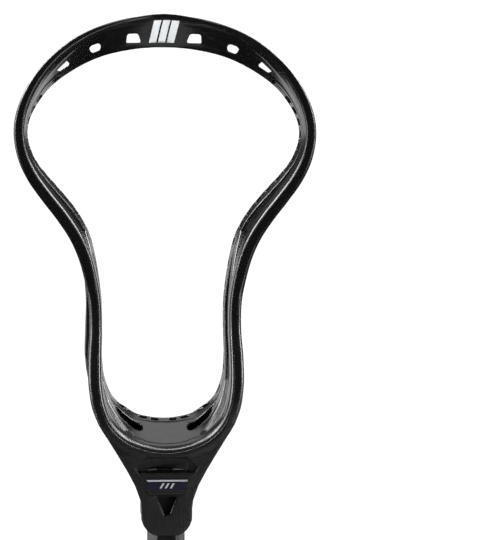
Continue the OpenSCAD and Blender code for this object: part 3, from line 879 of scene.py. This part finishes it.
badge = slab("throat_badge_plate", rounded([(12.6, 34), (-12.6, 34), (-11, 27.6), (11, 27.6)], 0.6), -20.05, -19.2, 0.15, badge_mat)
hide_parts("throat_badge")
slab("throat_badge_bar", rounded([(12.2, 33.8), (-12.2, 33.8), (-11.4, 32.8), (11.8, 32.8)], 0.2), -20.1, -20.0, 0.04, foil_mat)
for i, x in enumerate((-3.6, -0.6, 2.4)):
    slab("throat_badge_tick%d" % i, rounded([(x + 2.1, 31.8), (x + 0.9, 31.8), (x - 0.9, 28.8), (x + 0.3, 28.8)], 0.15), -20.1, -20.0, 0.04, foil_mat)

# ---------------------------------------------------------------- mark on the scoop: three slanted bars
def scoop_point(x, v, a):
    """Point over the scoop's inner side at x, share v of the way to the back lip, a above the surface."""
    m = (NUM >= -1) & (NUM <= 3)
    xx = x
    for _ in range(6):
        t = float(np.interp(xx, ROWS[m, 0], NUM[m]))
        r, nn = rows_at(t), outward(t)
        off = -r[4] * v + a
        xx += x - (r[0] + nn[0] * off)
    return np.array([x, r[2] + (r[3] - r[2]) * v, r[1] + nn[1] * off])


def bar(name, x0, x1, v0=0.08, v1=0.77):
    nu, nv = 10, 10
    top, bot = [], []
    for i in range(nu + 1):
        for j in range(nv + 1):
            v = v0 + (v1 - v0) * j / nv
            x = x0 + (x1 - x0) * i / nu + 3.0 * (0.5 - (v - v0) / (v1 - v0))
            top.append(scoop_point(x, v, -0.45))
            bot.append(scoop_point(x, v, 0.35))
    n = len(top)
    v = np.array(top + bot)
    v[:, 2] += Z0
    v /= 1000
    faces = []
    w = nv + 1
    for i in range(nu):
        for j in range(nv):
            a, b, c, d = i * w + j, (i + 1) * w + j, (i + 1) * w + j + 1, i * w + j + 1
            faces += [(a, b, c, d), (n + a, n + d, n + c, n + b)]
    for i in range(nu):
        for j in (0, nv):
            a, b = i * w + j, (i + 1) * w + j
            faces.append((a, n + a, n + b, b) if j == 0 else (b, n + b, n + a, a))
    for j in range(nv):
        for i in (0, nu):
            a, b = i * w + j, i * w + j + 1
            faces.append((b, n + b, n + a, a) if i == 0 else (a, n + a, n + b, b))
    ob = mesh_object(name, v, faces)
    b = bmesh.new()
    b.from_mesh(ob.data)
    bmesh.ops.recalc_face_normals(b, faces=b.faces)
    b.to_mesh(ob.data)
    b.free()
    ob.data.materials.append(print_mat)
    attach(ob, "root")
    return ob


first = bar("scoop_emblem_bar0", -7.8, -3.3)
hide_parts("scoop_emblem")
bar("scoop_emblem_bar1", -2.2, 2.2)
bar("scoop_emblem_bar2", 3.3, 7.8)

# ---------------------------------------------------------------- screw: the CAD node with its own metal
screw = nodes["head_screw"]
screw.data.materials.clear()
screw.data.materials.append(zinc_mat)

# ---------------------------------------------------------------- floor and light
def disc():
    v = [(0.0, 0.0, 0.0)] + [(1.9 * math.cos(math.tau * i / 96), 1.9 * math.sin(math.tau * i / 96), 0.0) for i in range(96)]
    return mesh_object("studio_floor", v, [(0, i + 1, (i + 1) % 96 + 1) for i in range(96)])


floor = disc()
m, nt, bsdf = material("studio_paper")
noise = node(nt, "ShaderNodeTexNoise", Scale=3.0, Detail=2.0)
nt.links.new(colour_mix(nt, noise.outputs["Fac"], (0.9, 0.9, 0.9), (0.92, 0.92, 0.92)), bsdf.inputs["Base Color"])
bsdf.inputs["Roughness"].default_value = 0.9
bsdf.inputs["Specular IOR Level"].default_value = 0.1
floor.data.materials.append(m)
floor.visible_glossy = False
floor.visible_diffuse = False

world = bpy.data.worlds.new("studio")
bpy.context.scene.world = world
bpy.context.scene.view_settings.view_transform = "Standard"
world.use_nodes = True
wt = world.node_tree
back = wt.nodes["Background"]
back.inputs["Color"].default_value = (1, 1, 1, 1)
path = wt.nodes.new("ShaderNodeLightPath")
seen_by_eye = wt.nodes.new("ShaderNodeMapRange")
seen_by_eye.inputs["To Min"].default_value = 0.035
seen_by_eye.inputs["To Max"].default_value = 1.1
wt.links.new(path.outputs["Is Camera Ray"], seen_by_eye.inputs["Value"])
wt.links.new(seen_by_eye.outputs["Result"], back.inputs["Strength"])


def area(name, loc, target, size, power, size_y=None):
    d = bpy.data.lights.new(name, "AREA")
    d.energy = power
    d.shape = "RECTANGLE" if size_y else "SQUARE"
    d.size = size
    if size_y:
        d.size_y = size_y
    o = bpy.data.objects.new(name, d)
    o.location = loc
    o.rotation_euler = (Vector(target) - Vector(loc)).to_track_quat("-Z", "Y").to_euler()
    o.visible_camera = False
    bpy.context.scene.collection.objects.link(o)
    return o


area("key_left", (-1.4, -0.27, 1.4), (0, 0, 0.85), 0.22, 15, 1.7)
area("strip_right", (1.4, -0.26, 1.45), (0, 0, 0.88), 0.22, 17, 1.6)
area("strip_left", (-1.4, 0.3, 1.2), (0, 0, 0.9), 0.2, 7, 1.6)
area("top", (0.0, 0.0, 2.2), (0, 0, 0.95), 0.9, 10, 0.25)
area("back_high", (0.0, 1.7, 2.15), (0, 0, 0.8), 1.4, 3.0, 0.7)
side = area("side_low", (1.2, -1.15, 0.5), (0, 0, 0.62), 0.9, 0.45, 0.7)
side.data.spread = math.radians(28)
area("floor_card", (0, -0.6, 0.06), (0, -0.5, 1.0), 1.6, 3.2, 0.8)
fill = area("emblem_fill", (0.15, -1.0, 0.3), (0, 0, 1.06), 0.4, 0.3, 0.3)
fill.data.spread = math.radians(20)
fill.visible_glossy = False
for s in (-1, 1):
    bevel = area("bevel_light", (s * 1.2, -0.2, 1.2), (0, 0, 0.74), 0.3, 0.09)
    bevel.data.spread = math.radians(20)
    area("back_low", (s * 0.75, 1.9, 0.8), (0, 0, 0.95), 0.9, 3, 0.9)
area("back_wash", (-1.6, 0.8, 2.6), (-0.4, 2.4, 1.0), 2.0, 220, 1.4)
area("back_wash_right", (1.6, 0.8, 2.6), (0.6, 2.4, 1.0), 2.0, 220, 1.4)
